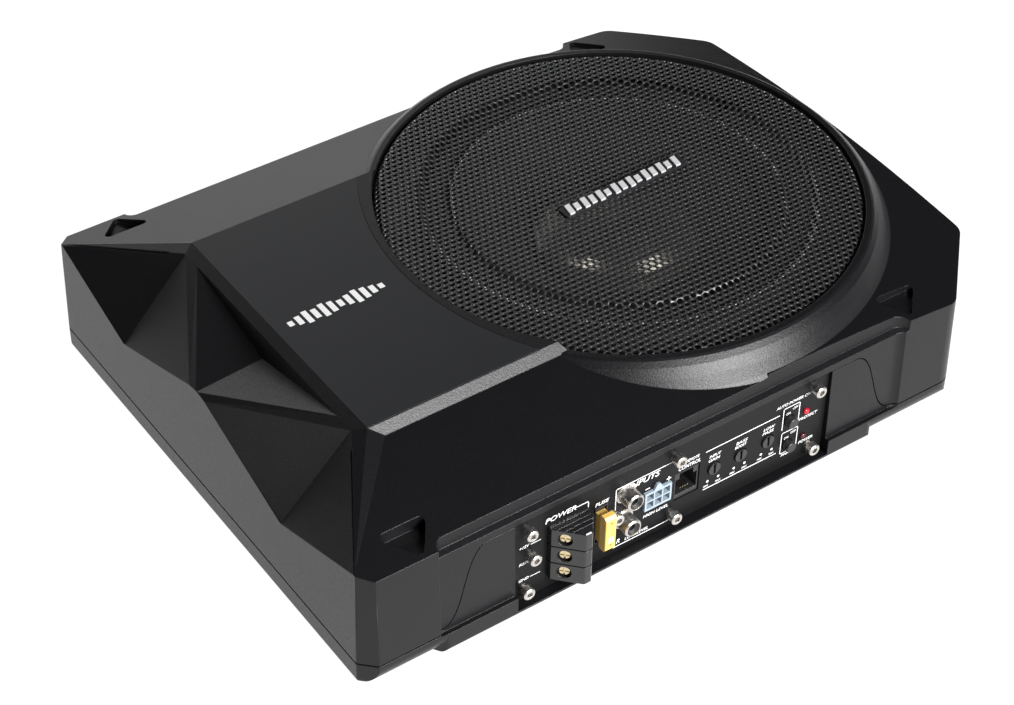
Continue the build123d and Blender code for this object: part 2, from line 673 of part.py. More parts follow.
def make_terminal_screw(z):
    """Slotted cross-head clamp screw with a domed head."""
    place = slant_place(clamp_offset, z)
    head = Pos(0, 0, -1.75) * Cylinder(2.75, 1.7)
    head = fillet(head.edges().filter_by(GeomType.CIRCLE).group_by(Axis.Z)[-1], 0.9)
    shank = Pos(0, 0, -5.2) * Cylinder(1.65, 6.0)
    slots = Pos(0, 0, -1.0) * (Box(0.7, 5.9, 1.0) + Box(4.2, 0.7, 1.0))
    return place * (head + shank - slots)


def make_fuse_parts():
    """Socket behind the panel, the coloured fuse body and its two blades."""
    x, z, y = fuse_x, fuse_z, panel_y
    slots = [z - 4.6, z + 4.6]
    holder = block(x - 3.1, x + 3.1, y - 0.6, y + 12, z - 10.2, z + 10.2)
    holder -= block(x - 2.75, x + 2.75, y - 1, y + 0.5, z - 9.75, z + 9.75)
    head = block(x - 2.7, x + 2.7, y - 7.6, y - 2.8, z - 9.5, z + 9.5)
    head = chamfer(head.edges().filter_by(Axis.X), 1.3)
    head = fillet(head.edges().filter_by(Axis.Z), 0.6)
    body = head + block(x - 2.3, x + 2.3, y - 3.4, y + 0.3, z - 7.4, z + 7.4)
    for end in (-1, 1):
        body -= across(0.6, x, z + 6.2 * end, y - 8, y - 6.8)
    blades = []
    for slot in slots:
        blade = block(x - 0.33, x + 0.33, y + 0.3, y + 8.5, slot - 2.5, slot + 2.5)
        blades.append(chamfer(blade.edges().filter_by(Axis.X).group_by(Axis.Y)[-1], 0.8))
        holder -= block(x - 0.4, x + 0.4, y - 1, y + 9.5, slot - 2.6, slot + 2.6)
    return holder, body, blades


def make_rca_parts():
    """Metal shells, insulators with the centre contact hole, and the body behind the panel."""
    y = panel_y
    shells, cores = [], []
    for x, z in rca_places:
        shell = across(rca_r, x, z, y - rca_proud, y + 2.0) + across(5.1, x, z, y + 0.2, y + 1.8)
        shell = chamfer(shell.edges().filter_by(GeomType.CIRCLE).group_by(Axis.Y)[0], 0.5)
        shell -= across(3.2, x, z, y - 10, y + 2.5)
        shells.append(shell)
        cores.append(across(3.18, x, z, y - 5.6, y + 2.0) - across(1.65, x, z, y - 8, y + 1.0))
    body = block(-46.2, -34.7, y + 2.05, y + 13, 12.0, 41.5)
    return shells, cores, body


def make_socket_parts():
    """Six-way socket with a tapered latch on top, and its pins."""
    x, z, y = socket_x, socket_z, panel_y
    w, h = socket_width, socket_height
    body = block(x - w / 2, x + w / 2, y - socket_proud, y + 11, z - h / 2, z + h / 2)
    foot, tip = z + h / 2 - 0.2, z + h / 2 + latch_height
    latch = make_face(Polyline((x - 2.6, 0, foot), (x + 2.6, 0, foot), (x + 0.8, 0, tip), (x - 0.8, 0, tip),
                               close=True))
    body += along_y(latch, y - socket_proud, y - 0.1)
    pins = []
    for column in (-1, 0, 1):
        for row in (-1, 1):
            px, pz = x + 4.2 * column, z + 2.1 * row
            body -= block(px - 1.75, px + 1.75, y - 3, y + 8, pz - 1.75, pz + 1.75)
            pins.append(block(px - 0.5, px + 0.5, y + 0.8, y + 8.0, pz - 0.5, pz + 0.5))
    return body, pins


def make_jack_parts():
    """Telephone-style socket for the remote level control, with four spring contacts."""
    x, z, y = jack_x, jack_z, panel_y
    w, h = jack_width, jack_height
    body = block(x - w / 2, x + w / 2, y + jack_sunk, y + 13, z - h / 2, z + h / 2)
    body -= block(x - 5.6, x + 5.6, y - 1, y + 10, z - 5.0, z + 3.4)
    body -= block(x - 3.6, x + 3.6, y - 1, y + 10, z + 2.9, z + 6.4)
    contacts = []
    for i in range(4):
        px = x - 1.9 + 1.27 * i
        wire = block(px - 0.2, px + 0.2, y + 1.6, y + 10.0, z - 3.6, z - 3.1)
        contacts.append(wire)
    return body, contacts


def make_pot_body(x):
    """Potentiometer case behind the panel, with the bore for its shaft."""
    y = panel_y + panel_thickness
    body = block(x - 5.2, x + 5.2, y + 0.1, y + 8.0, pot_z - 6.0, pot_z + 5.4)
    body += block(x - 3.6, x + 3.6, y + 1.0, y + 7.0, board_z + board_thickness, pot_z - 5.5)
    return body - across(pot_shaft_r + 0.06, x, pot_z, y - 1, y + 7.0)


def make_pot_shaft(x):
    """Adjuster with a screwdriver slot, flush with the panel."""
    y = panel_y
    shaft = across(pot_shaft_r, x, pot_z, y - 0.8, y + panel_thickness + 6.8)
    shaft -= block(x - 0.55, x + 0.55, y - 2, y + 0.6, pot_z - 2.6, pot_z + 2.6)
    return shaft - across(0.9, x, pot_z + 2.2, y - 2, y - 0.5)


def make_switch_body(x, z):
    """Latching switch case behind the panel."""
    y = panel_y + panel_thickness
    body = block(x - 4.2, x + 4.2, y + 1.7, y + 12.0, z - 4.2, z + 4.2)
    return body - block(x - 2.06, x + 2.06, y, y + 7.6, z - 2.06, z + 2.06)


def make_push_button(x, z):
    """Round cap on a square stem that slides in the switch case."""
    y = panel_y
    cap = across(button_r, x, z, y - 3.4, y + panel_thickness)
    cap = fillet(cap.edges().filter_by(GeomType.CIRCLE).group_by(Axis.Y)[0], 0.5)
    return cap + block(x - 2.0, x + 2.0, y + panel_thickness - 0.2, y + 7.2, z - 2.0, z + 2.0)


def make_led(x, z):
    """Round-nosed indicator lamp."""
    y = panel_y
    lens = across(led_r, x, z, y - 1.2, y + 5) + across(1.9, x, z, y + panel_thickness + 0.1, y + 5)
    return fillet(lens.edges().filter_by(GeomType.CIRCLE).group_by(Axis.Y)[0], 0.9)


def make_board():
    """Amplifier circuit board with cut-outs for the parts that reach below it."""
    x0, x1, y0, y1 = board_box
    board = block(x0, x1, y0, y1, board_z, board_z + board_thickness)
    board -= block(-79.0, -61.0, y0 - 1, -114.5, 0, 20) + block(fuse_x - 4, fuse_x + 4, y0 - 1, -110, 0, 20)
    for x, y in board_screw_places:
        board -= cylinder(1.7, 0, 20, x, y)
    return board


def make_heat_spreader():
    """Aluminium plate under the board with stand-offs and an upright wall for the transistors."""
    x0, x1, y0, y1 = board_box
    plate = block(x0, x1, y0 + 14, y1 + 3, floor_z + 0.1, floor_z + 3.1)
    plate += block(-60, 40, y1 + 0.5, y1 + 3, floor_z + 0.1, 34)
    for x, y in board_screw_places:
        plate += cylinder(3.4, floor_z + 1, board_z, x, y)
        plate -= cylinder(1.4, 0, 20, x, y)
    return plate


def make_board_screw(x, y):
    """Short screw through the board into a stand-off."""
    top = board_z + board_thickness
    return cylinder(2.8, top, top + 1.8, x, y) + cylinder(1.38, top - 4.5, top + 0.5, x, y) \
        - Pos(x, y, top + 1.7) * (Box(3.6, 0.7, 1.0) + Box(0.7, 3.6, 1.0))


def make_power_transistor(x):
    """Flat power transistor clamped against the upright wall, on three leads."""
    y = board_box[3] + 0.45
    body = block(x - 5.1, x + 5.1, y - 4.5, y, 16.0, 31.0)
    for step in (-2.54, 0, 2.54):
        body += block(x + step - 0.4, x + step + 0.4, y - 2.8, y - 2.2, board_z + board_thickness, 16.5)
    return body


def make_capacitor(radius, height, x, y):
    """Electrolytic can with a rolled groove near its foot."""
    z = board_z + board_thickness
    can = cylinder(radius, z, z + height, x, y)
    can -= tube(radius + 1, radius - 0.5, z + 3.0, z + 4.2, x, y)
    return fillet(can.faces().sort_by(Axis.Z)[-1].edges(), 0.8)


def make_inductor():
    """Wound ring choke lying on the board."""
    return Pos(-8, -94, board_z + board_thickness + 5.5) * Torus(8.5, 5.3)


# ------------------------------------------------------------ build
outer_form = envelope()
inner_form = envelope(wall)
save("top_shell", make_top_shell(outer_form, inner_form))
save("bottom_shell", make_bottom_shell(outer_form))
save("shell_seal", make_shell_seal())
save("case_screws", group([make_case_screw(x, y) for x, y in boss_places()]))
save("rubber_pads", group([make_rubber_pad(x, y) for x, y in pad_places()]))
save("top_trim_plate", plate_solid(0.0, plate_z))
save("grille", make_grille())
save("grille_badge", make_badge())

top_plate, magnet, yoke = make_motor()
strip, tags = make_driver_terminals()
save("driver_basket", make_basket())
save("driver_gasket", tube(flange_r, ledge_inner_r + 1, ledge_z, flange_z, ring_x)
     - [cylinder(2.2, 50, 70, *around(flange_screw_r, a)) for a in screw_angles()])
save("driver_screws", group([make_driver_screw(a) for a in screw_angles()]))
save("surround", make_surround())
save("cone", make_cone())
save("dust_cap", make_dust_cap())
save("spider", make_spider())
save("voice_coil_former", tube(neck_r + former_thickness, neck_r, former_bottom_z, 46.0, ring_x))
winding_z = basket_base_z - top_plate_thickness / 2
save("voice_coil_winding", tube(neck_r + former_thickness + 1.0, neck_r + former_thickness,
                                winding_z - winding_height / 2, winding_z + winding_height / 2, ring_x))
save("magnet_top_plate", top_plate)
save("magnet", magnet)
save("pole_yoke", yoke)
save("driver_terminal_strip", strip)
save("driver_tags", group(tags))
save("speaker_leads", group(make_leads()))

holder, fuse, blades = make_fuse_parts()
shells, cores, rca_body = make_rca_parts()
socket, pins = make_socket_parts()
jack, contacts = make_jack_parts()
save("control_panel", make_control_panel())
save("panel_screws", group([make_panel_screw(x, z) for x, z in panel_screw_places]))
save("terminal_block", make_terminal_block())
save("terminal_contacts", group([make_terminal_contact(z) for z in terminal_z]))
for number, z in enumerate(terminal_z, start=1):
    save("terminal_screw_" + str(number), make_terminal_screw(z))
save("fuse_holder", holder)
save("fuse_body", fuse)
save("fuse_blades", group(blades))
save("rca_shells", group(shells))
save("rca_insulators", group(cores))
save("rca_body", rca_body)
save("high_level_socket", socket)
save("high_level_pins", group(pins))
save("remote_jack", jack)
save("remote_jack_contacts", group(contacts))
save("pot_bodies", group([make_pot_body(x) for x in pot_places]))
for name, x in zip(("gain", "boost", "low_pass"), pot_places):
    save(name + "_adjuster", make_pot_shaft(x))
save("switch_bodies", group([make_switch_body(x, z) for x, z in button_places]))
for name, place in zip(("auto_on", "phase"), button_places):
    save(name + "_button", make_push_button(*place))
for name, place in zip(("protect", "power"), led_places):
    save(name + "_lamp", make_led(*place))

save("amp_board", make_board())
save("heat_spreader", make_heat_spreader())
save("board_screws", group([make_board_screw(x, y) for x, y in board_screw_places]))
save("power_transistors", group([make_power_transistor(x) for x in (-48, -30, -12, 6, 24)]))
save("capacitors", group([make_capacitor(*c) for c in capacitor_cans]))
save("choke", make_inductor())
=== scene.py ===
import json
import math

import bmesh
import bpy
import numpy as np
from mathutils import Matrix, Vector


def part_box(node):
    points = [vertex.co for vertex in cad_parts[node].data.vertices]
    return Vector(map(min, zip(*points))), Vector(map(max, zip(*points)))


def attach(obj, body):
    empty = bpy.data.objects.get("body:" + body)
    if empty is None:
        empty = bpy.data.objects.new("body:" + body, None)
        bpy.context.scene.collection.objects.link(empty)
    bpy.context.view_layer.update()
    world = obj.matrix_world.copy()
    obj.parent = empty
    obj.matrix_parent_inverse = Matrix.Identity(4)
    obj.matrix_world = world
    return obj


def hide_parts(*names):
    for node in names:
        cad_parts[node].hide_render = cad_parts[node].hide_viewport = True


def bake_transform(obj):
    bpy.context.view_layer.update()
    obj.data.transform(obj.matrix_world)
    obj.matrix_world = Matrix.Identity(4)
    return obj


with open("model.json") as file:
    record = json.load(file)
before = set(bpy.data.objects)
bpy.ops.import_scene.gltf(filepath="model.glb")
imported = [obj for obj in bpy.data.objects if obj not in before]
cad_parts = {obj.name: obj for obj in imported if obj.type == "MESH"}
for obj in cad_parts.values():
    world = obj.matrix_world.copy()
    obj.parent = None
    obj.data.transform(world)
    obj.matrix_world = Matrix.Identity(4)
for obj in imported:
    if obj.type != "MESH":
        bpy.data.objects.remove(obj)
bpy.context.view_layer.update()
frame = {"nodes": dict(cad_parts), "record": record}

MM = 0.001
CASE = "case"

# ------------------------------------------------------------ places read from the frame
grille_low, grille_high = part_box("grille")
ring_centre = Vector(((grille_low.x + grille_high.x) / 2, 0.0, 0.0))
grille_radius = (grille_high.x - grille_low.x) / 2
grille_top = grille_high.z
badge_low, badge_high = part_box("grille_badge")
plate_low, plate_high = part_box("top_trim_plate")
surround_low, surround_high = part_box("surround")
spider_low, spider_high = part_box("spider")
panel_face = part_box("control_panel")[0].y
former_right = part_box("voice_coil_former")[1].x


# ------------------------------------------------------------ material building
class Shader:
    """Small helper around one node tree."""

    def __init__(self, name):
        self.material = bpy.data.materials.new(name)
        self.material.use_nodes = True
        self.tree = self.material.node_tree
        self.principled = self.tree.nodes["Principled BSDF"]
        self.coords = self.add("ShaderNodeTexCoord").outputs["Object"]

    def add(self, kind, **settings):
        node = self.tree.nodes.new(kind)
        for key, value in settings.items():
            setattr(node, key, value)
        return node

    def link(self, source, target):
        self.tree.links.new(source, target)

    def set(self, **values):
        names = {"color": "Base Color", "rough": "Roughness", "metal": "Metallic", "coat": "Coat Weight",
                 "sheen": "Sheen Weight", "through": "Transmission Weight", "ior": "IOR",
                 "specular": "Specular IOR Level", "emission": "Emission Strength"}
        for key, value in values.items():
            if key == "color":
                value = (*value, 1.0)
            self.principled.inputs[names[key]].default_value = value

    def noise(self, scale, detail=3.0, rough=0.55, stretch=None):
        vector = self.coords
        if stretch:
            mapping = self.add("ShaderNodeMapping")
            mapping.inputs["Scale"].default_value = stretch
            self.link(self.coords, mapping.inputs["Vector"])
            vector = mapping.outputs["Vector"]
        texture = self.add("ShaderNodeTexNoise")
        texture.inputs["Scale"].default_value = scale
        texture.inputs["Detail"].default_value = detail
        texture.inputs["Roughness"].default_value = rough
        self.link(vector, texture.inputs["Vector"])
        return texture.outputs["Fac"]

    def spread(self, value, low, high, new_low, new_high):
        node = self.add("ShaderNodeMapRange")
        for name, number in zip(("From Min", "From Max", "To Min", "To Max"), (low, high, new_low, new_high)):
            node.inputs[name].default_value = number
        self.link(value, node.inputs["Value"])
        return node.outputs["Result"]

    def mix(self, factor, first, second):
        node = self.add("ShaderNodeMix", data_type="RGBA")
        node.inputs[6].default_value = (*first, 1.0)
        node.inputs[7].default_value = (*second, 1.0)
        self.link(factor, node.inputs[0])
        return node.outputs[2]

    def color_from(self, factor, first, second):
        self.link(self.mix(factor, first, second), self.principled.inputs["Base Color"])

    def rough_from(self, factor, low, high):
        self.link(self.spread(factor, 0.3, 0.7, low, high), self.principled.inputs["Roughness"])

    def bump(self, height, strength, distance, edge=0.0):
        """Surface grain on top of edges softened by the given radius."""
        node = self.add("ShaderNodeBump")
        node.inputs["Strength"].default_value = strength
        node.inputs["Distance"].default_value = distance
        self.link(height, node.inputs["Height"])
        if edge:
            soft = self.add("ShaderNodeBevel", samples=4)
            soft.inputs["Radius"].default_value = edge
            self.link(soft.outputs["Normal"], node.inputs["Normal"])
        self.link(node.outputs["Normal"], self.principled.inputs["Normal"])


def moulded(name, color, rough, grain, strength, edge=0.5 * MM, fleck=0.25, specular=0.35):
    """Moulded plastic with a fine spark-eroded grain."""
    s = Shader(name)
    s.set(rough=rough, specular=specular)
    cloud = s.noise(60.0, 2.0)
    lighter = tuple(c * (1.0 + fleck) for c in color)
    s.color_from(cloud, color, lighter)
    fine = s.noise(grain, 4.0, 0.7)
    s.rough_from(fine, rough - 0.06, rough + 0.08)
    s.bump(fine, strength, 0.12 * MM, edge)
    return s.material


def metal(name, color, rough, brushed=None, edge=0.15 * MM, metallic=1.0):
    """Plated or machined metal, with fine drawn lines when brushed gives their direction."""
    s = Shader(name)
    s.set(color=color, metal=metallic, rough=rough)
    cloud = s.noise(900.0, 3.0, stretch=brushed)
    s.rough_from(cloud, rough * 0.7, rough * 1.4)
    darker = tuple(c * 0.82 for c in color)
    s.color_from(cloud, darker, color)
    s.bump(s.noise(2500.0, 2.0, stretch=brushed), 0.12, 0.05 * MM, edge)
    return s.material


def smooth_plastic(name, color, rough, edge=0.2 * MM, **extra):
    """Shiny or silky plastic with faint flow marks."""
    s = Shader(name)
    s.set(rough=rough, **extra)
    cloud = s.noise(140.0, 2.0)
    s.color_from(cloud, color, tuple(min(1.0, c * 1.15 + 0.002) for c in color))
    s.rough_from(s.noise(400.0), rough * 0.85, rough * 1.15)
    s.bump(s.noise(700.0), 0.06, 0.05 * MM, edge)
    return s.material


def powder_coat(name, color, rough, grain=1500.0, strength=0.25, edge=0.25 * MM, specular=0.5):
    """Painted sheet metal with slight orange peel."""
    s = Shader(name)
    s.set(rough=rough, specular=specular)
    s.color_from(s.noise(300.0), color, tuple(c * 1.3 for c in color))
    s.rough_from(s.noise(900.0), rough - 0.05, rough + 0.07)
    s.bump(s.noise(grain, 3.0), strength, 0.06 * MM, edge)
    return s.material


def woven(name, color, thread):
    """Impregnated cloth with a plain weave."""
    s = Shader(name)
    s.set(rough=0.8, sheen=0.3)
    first = s.add("ShaderNodeTexWave", wave_type="BANDS", bands_direction="X")
    second = s.add("ShaderNodeTexWave", wave_type="BANDS", bands_direction="Y")
    for wave in (first, second):
        wave.inputs["Scale"].default_value = thread
        s.link(s.coords, wave.inputs["Vector"])
    both = s.add("ShaderNodeMath", operation="MULTIPLY")
    s.link(first.outputs["Fac"], both.inputs[0])
    s.link(second.outputs["Fac"], both.inputs[1])
    # colour follows the weave mask: darker away from the thread crossings is painted shade in the weave
    s.color_from(both.outputs["Value"], tuple(c * 0.55 for c in color), color)
    s.bump(both.outputs["Value"], 0.5, 0.15 * MM)
    return s.material


def fibrous(name, color, rough=0.85):
    """Pressed paper with short fibres."""
    s = Shader(name)
    s.set(rough=rough)
    fibres = s.noise(500.0, 6.0, 0.75, stretch=(1.0, 6.0, 1.0))
    s.color_from(fibres, tuple(c * 0.7 for c in color), tuple(c * 1.5 for c in color))
    s.bump(fibres, 0.5, 0.15 * MM)
    return s.material


def tinted(name, color, rough, through, edge=0.2 * MM):
    """Translucent moulded plastic."""
    s = Shader(name)
    s.set(rough=rough, through=through, ior=1.5)
    s.color_from(s.noise(200.0), color, tuple(min(1.0, c * 1.12) for c in color))
    s.bump(s.noise(600.0), 0.08, 0.05 * MM, edge)
    return s.material


def board_material():
    """Green solder resist over a faint pattern of copper tracks."""
    s = Shader("solder_resist")
    s.set(rough=0.3, coat=0.3)
    tracks = s.add("ShaderNodeTexBrick")
    tracks.inputs["Scale"].default_value = 220.0
    tracks.inputs["Color1"].default_value = (0.02, 0.12, 0.05, 1)
    tracks.inputs["Color2"].default_value = (0.03, 0.17, 0.07, 1)
    tracks.inputs["Mortar"].default_value = (0.05, 0.26, 0.11, 1)
    s.link(s.coords, tracks.inputs["Vector"])
    s.link(tracks.outputs["Color"], s.principled.inputs["Base Color"])
    s.bump(tracks.outputs["Fac"], 0.2, 0.05 * MM)
    return s.material


def wound_copper():
    """Enamelled wire laid turn by turn."""
    s = Shader("wound_copper")
    s.set(metal=0.8, rough=0.3)
    turns = s.add("ShaderNodeTexWave", wave_type="BANDS", bands_direction="Z")
    turns.inputs["Scale"].default_value = 500.0
    s.link(s.coords, turns.inputs["Vector"])
    # colour follows the turn bands: darker in the grooves between turns is painted shade, lighter on the
    # crests is painted highlight
    s.color_from(turns.outputs["Fac"], (0.25, 0.08, 0.03), (0.75, 0.34, 0.15))
    s.bump(turns.outputs["Fac"], 0.6, 0.2 * MM)
    return s.material


materials = {
    "shell": moulded("shell_grain", (0.004, 0.004, 0.0046), 0.32, 1250.0, 0.8, specular=0.27),
    "plate": moulded("plate_satin", (0.007, 0.0073, 0.0085), 0.42, 900.0, 0.10, edge=0.3 * MM),
    "foam": moulded("black_foam", (0.01, 0.01, 0.01), 0.9, 1200.0, 0.8, edge=0),
    "screw_black": metal("black_zinc", (0.05, 0.05, 0.052), 0.35),
    "rubber": moulded("soft_rubber", (0.014, 0.014, 0.014), 0.75, 1500.0, 0.4),
    "grille": powder_coat("grille_coat", (0.016, 0.016, 0.017), 0.30, grain=1100.0, strength=0.10, edge=0),
    "badge": metal("brushed_badge", (0.72, 0.72, 0.73), 0.4, brushed=(1.0, 30.0, 1.0), metallic=0.35),
    "badge_back": smooth_plastic("badge_back", (0.01, 0.01, 0.011), 0.25),
    "basket": powder_coat("basket_coat", (0.02, 0.02, 0.02), 0.4),
    "surround": moulded("surround_rubber", (0.012, 0.012, 0.012), 0.6, 1200.0, 0.2, edge=0),
    "cone": fibrous("cone_paper", (0.02, 0.02, 0.021)),
    "cap": smooth_plastic("cap_gloss", (0.19, 0.175, 0.150), 0.20, metal=0.85, edge=0),
    "spider": woven("spider_cloth", (0.5, 0.32, 0.12), 320.0),
    "former": metal("rolled_aluminium", (0.75, 0.75, 0.75), 0.3),
    "copper": wound_copper(),
    "steel": metal("zinc_plate", (0.55, 0.55, 0.56), 0.32),
    "ferrite": moulded("ferrite", (0.03, 0.03, 0.032), 0.5, 700.0, 0.3),
    "tag_board": fibrous("phenolic", (0.25, 0.14, 0.06), 0.6),
    "nickel": metal("bright_nickel", (0.70, 0.67, 0.63), 0.34),
    "brass": metal("plated_brass", (0.78, 0.66, 0.42), 0.2),
    "wire": smooth_plastic("wire_jacket", (0.45, 0.02, 0.015), 0.4),
    "panel": powder_coat("panel_coat", (0.004, 0.004, 0.0043), 0.40, specular=0.13),
    "block": smooth_plastic("glossy_nylon", (0.008, 0.008, 0.009), 0.16, specular=0.6),
    "black_plastic": smooth_plastic("black_moulding", (0.012, 0.012, 0.013), 0.35),
    "fuse": tinted("fuse_body", (0.66, 0.42, 0.10), 0.28, 0.12),
    "natural_nylon": tinted("natural_nylon", (0.30, 0.36, 0.42), 0.3, 0.25),
    "insulator": smooth_plastic("insulator", (0.02, 0.02, 0.02), 0.3),
    "lens_red": tinted("red_lens", (0.45, 0.01, 0.02), 0.1, 0.2),
    "lens_dark": tinted("dark_lens", (0.05, 0.008, 0.01), 0.12, 0.1),
    "board": board_material(),
    "alu": metal("milled_aluminium", (0.65, 0.65, 0.66), 0.3, brushed=(1.0, 20.0, 1.0)),
    "transistor": moulded("epoxy", (0.015, 0.015, 0.015), 0.5, 1500.0, 0.3),
    "can": smooth_plastic("shrink_sleeve", (0.02, 0.03, 0.07), 0.25),
    "print": smooth_plastic("white_ink", (0.62, 0.62, 0.62), 0.5, edge=0),
}


def paint_cad_nodes():
    """Gives every CAD node the material of its slot."""
    for part in frame["record"]["subparts"]:
        node = frame["nodes"][part["node"]]
        node.data.materials.clear()
        node.data.materials.append(materials[part["material_slot"]])
    frame["nodes"]["grille_badge"].data.materials[0] = materials["badge_back"]


def smooth_by_angle(piece, degrees=28.0):
    """Smooth shading that keeps the sharp edges."""
    mesh = piece.data
    mesh.shade_smooth()
    mesh.set_sharp_from_angle(angle=math.radians(degrees))


def add_piece(name, mesh, material, body=CASE, smooth=True):
    """Links a mesh as a piece that rides on a body; body None leaves it unattached."""
    piece = bpy.data.objects.new(name, mesh)
    bpy.context.scene.collection.objects.link(piece)
    mesh.materials.append(materials[material])
    if smooth:
        smooth_by_angle(piece)
    if body:
        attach(piece, body)
    return piece


def mesh_from(name, vertices, faces):
    mesh = bpy.data.meshes.new(name)
    mesh.from_pydata(vertices, [], faces)
    mesh.validate()
    mesh.update()
    return mesh


# ------------------------------------------------------------ grille
HOLE_PITCH = 3.37 * MM
HOLE_RADIUS = 1.29 * MM
RIM_BREAK = 0.15 * MM      # broken edge of each hole
CELL_SPOKES = 12           # corners and side middles of one hexagonal cell
SHEET = 0.8 * MM
EDGE_ROLL = 3.2 * MM       # radius of the rolled edge
ROLL_STEPS = 8
STEP_RADIUS = 75.0 * MM    # where the flat middle drops into the groove
STEP_DROP = 1.6 * MM
GROOVE_WIDTH = 11.0 * MM
CREST_RISE = 0.8 * MM      # height of the outer band over the middle
SKIRT = 5.0 * MM
GRILLE_SMOOTH_ANGLE = 50.0


def grille_section():
    """Top line of the sheet as (radius, height) points from the centre to the skirt."""
    top = grille_top
    flat = top - CREST_RISE
    low = flat - STEP_DROP
    crest = STEP_RADIUS + GROOVE_WIDTH
    points = [(0.0, flat), (STEP_RADIUS - 1.4 * MM, flat), (STEP_RADIUS - 0.6 * MM, flat - 0.25 * MM),
              (STEP_RADIUS + 0.3 * MM, low + 0.15 * MM), (STEP_RADIUS + 1.0 * MM, low),
              (crest, low + 0.5 * MM), (crest + 2.5 * MM, top - 0.15 * MM), (crest + 3.5 * MM, top)]
    edge = grille_radius - EDGE_ROLL
    for i in range(ROLL_STEPS + 1):
        turn = math.radians(90.0 * i / ROLL_STEPS)
        points.append((edge + EDGE_ROLL * math.sin(turn), top - EDGE_ROLL * (1 - math.cos(turn))))
    points.append((grille_radius, top - EDGE_ROLL - SKIRT))
    return points


def formed_sheet():
    """Function that takes a flat blank's (radius, depth) to the formed sheet, and the blank's radius."""
    points = np.array(grille_section())
    steps = np.hypot(*np.diff(points, axis=0).T)
    run = np.concatenate([[0.0], np.cumsum(steps)])

    def form(radius, depth):
        r = np.interp(radius, run, points[:, 0])
        z = np.interp(radius, run, points[:, 1])
        step = 0.2 * MM
        tangent = np.array([np.interp(radius + step, run, line) - np.interp(radius - step, run, line)
                            for line in points.T])
        tangent /= np.maximum(np.hypot(*tangent), 1e-9)
        return r + depth * tangent[1], z - depth * tangent[0]

    return form, run[-1]


def hole_cells(limit):
    """Hexagonal lattice places (column, row) whose cells fit inside the limit."""
    row = HOLE_PITCH * math.sqrt(3) / 2
    count = int(limit / row) + 2
    cells = {}
    for j in range(-count, count + 1):
        for i in range(-2 * count, 2 * count + 1):
            x, y = HOLE_PITCH * (i + j / 2), row * j
            if math.hypot(x, y) < limit:
                cells[i, j] = (x, y)
    return cells


def perforated_blank(limit):
    """Flat closed sheet of hexagonal cells, each with a round hole: vertices and faces."""
    corner = HOLE_PITCH / math.sqrt(3)
    spoke_angle = 360.0 / CELL_SPOKES
    rings = [(None, 0.0), (HOLE_RADIUS + RIM_BREAK, 0.0), (HOLE_RADIUS, RIM_BREAK), (HOLE_RADIUS, SHEET),
             (None, SHEET)]
    neighbours = [(1, 0), (0, 1), (-1, 1), (-1, 0), (0, -1), (1, -1)]
    cells = hole_cells(limit)
    vertices, shared, faces = [], {}, []

    def vertex(x, y, depth, cell_edge):
        if cell_edge:
            key = (round(4 * x / HOLE_PITCH), round(4 * math.sqrt(3) * y / HOLE_PITCH), depth)
            if key in shared:
                return shared[key]
            shared[key] = len(vertices)
        vertices.append((x, y, depth))
        return len(vertices) - 1

    for (i, j), (x, y) in cells.items():
        spokes = []
        for k in range(CELL_SPOKES):
            turn = math.radians(spoke_angle * (k + 1))
            reach = corner if k % 2 == 0 else HOLE_PITCH / 2
            spoke = []
            for radius, depth in rings:
                r = radius or reach
                spoke.append(vertex(x + r * math.cos(turn), y + r * math.sin(turn), depth, not radius))
            spokes.append(spoke)
        for k in range(CELL_SPOKES):
            near, far = spokes[k], spokes[(k + 1) % CELL_SPOKES]
            faces += [(near[m], far[m], far[m + 1], near[m + 1]) for m in range(len(rings) - 1)]
        for side, (di, dj) in enumerate(neighbours):
            if (i + di, j + dj) in cells:
                continue
            for k in ((2 * side - 2) % CELL_SPOKES, (2 * side - 1) % CELL_SPOKES):
                near, far = spokes[k], spokes[(k + 1) % CELL_SPOKES]
                faces.append((near[-1], far[-1], far[0], near[0]))
    return np.array(vertices), faces


def tidy_normals(mesh):
    """Turns all faces of a closed mesh outwards."""
    bm = bmesh.new()
    bm.from_mesh(mesh)
    bmesh.ops.recalc_face_normals(bm, faces=bm.faces)
    bm.to_mesh(mesh)
    bm.free()


def build_grille():
    """Perforated steel sheet formed over its section, with an embossed ring and a rolled edge."""
    form, blank_radius = formed_sheet()
    flat, faces = perforated_blank(blank_radius - HOLE_PITCH)
    radius = np.hypot(flat[:, 0], flat[:, 1])
    r, z = form(radius, flat[:, 2])
    scale = r / np.maximum(radius, 1e-9)
    places = np.column_stack([flat[:, 0] * scale + ring_centre.x, flat[:, 1] * scale, z])
    mesh = mesh_from("grille_sheet", places.tolist(), faces)
    tidy_normals(mesh)
    piece = add_piece("perforated_grille", mesh, "grille", smooth=False)
    smooth_by_angle(piece, GRILLE_SMOOTH_ANGLE)
    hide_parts("grille")


# ------------------------------------------------------------ small solids
CAPITAL_SHARE = 0.72    # height of a capital over the size of the typeface
STROKE_GAIN = 0.012     # thickening of the strokes over the height


